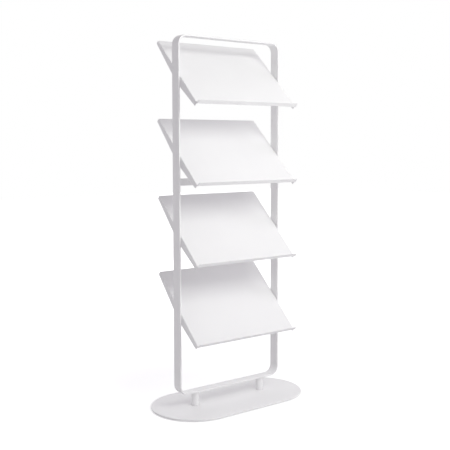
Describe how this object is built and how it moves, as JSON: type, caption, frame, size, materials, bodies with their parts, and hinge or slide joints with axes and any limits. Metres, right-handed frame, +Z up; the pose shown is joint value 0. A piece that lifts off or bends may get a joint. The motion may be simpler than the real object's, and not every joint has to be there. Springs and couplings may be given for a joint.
{
  "type": "periodical display rack",
  "caption": "Free-standing magazine rack: tall flat-bar ring on an oval base plate, carrying tilted sheet-metal trays with an upturned lip.",
  "frame": {"origin": "on the floor, under the middle of the base plate's footprint", "axes": "+Z up, +X to the right along the base plate, -Y towards the front, where the lips of the trays are"},
  "size_m": [0.7, 0.36, 1.5],
  "materials": {
    "frame_powder_coat": "fine matt white powder coat on steel bar and tube",
    "tray_powder_coat": "fine matt white powder coat on folded sheet steel",
    "base_powder_coat": "fine matt white powder coat on steel plate",
    "screw_zinc": "zinc plated steel",
    "pad_plastic": "self-adhesive white plastic pad"
  },
  "bodies": {
    "root": {"base_plate": "base_powder_coat", "base_screws": "screw_zinc", "crossbar": "frame_powder_coat", "floor_pad_back_left": "pad_plastic", "floor_pad_back_right": "pad_plastic", "floor_pad_front_left": "pad_plastic", "floor_pad_front_right": "pad_plastic", "floor_pad_left": "pad_plastic", "floor_pad_right": "pad_plastic", "ring_frame": "frame_powder_coat", "shelf_tray_1": "tray_powder_coat", "shelf_tray_1_screws": "screw_zinc", "shelf_tray_2": "tray_powder_coat", "shelf_tray_2_screws": "screw_zinc", "shelf_tray_3": "tray_powder_coat", "shelf_tray_3_screws": "screw_zinc", "shelf_tray_4": "tray_powder_coat", "shelf_tray_4_screws": "screw_zinc", "spacer_post_left": "frame_powder_coat", "spacer_post_right": "frame_powder_coat"}
  },
  "joints": []
}
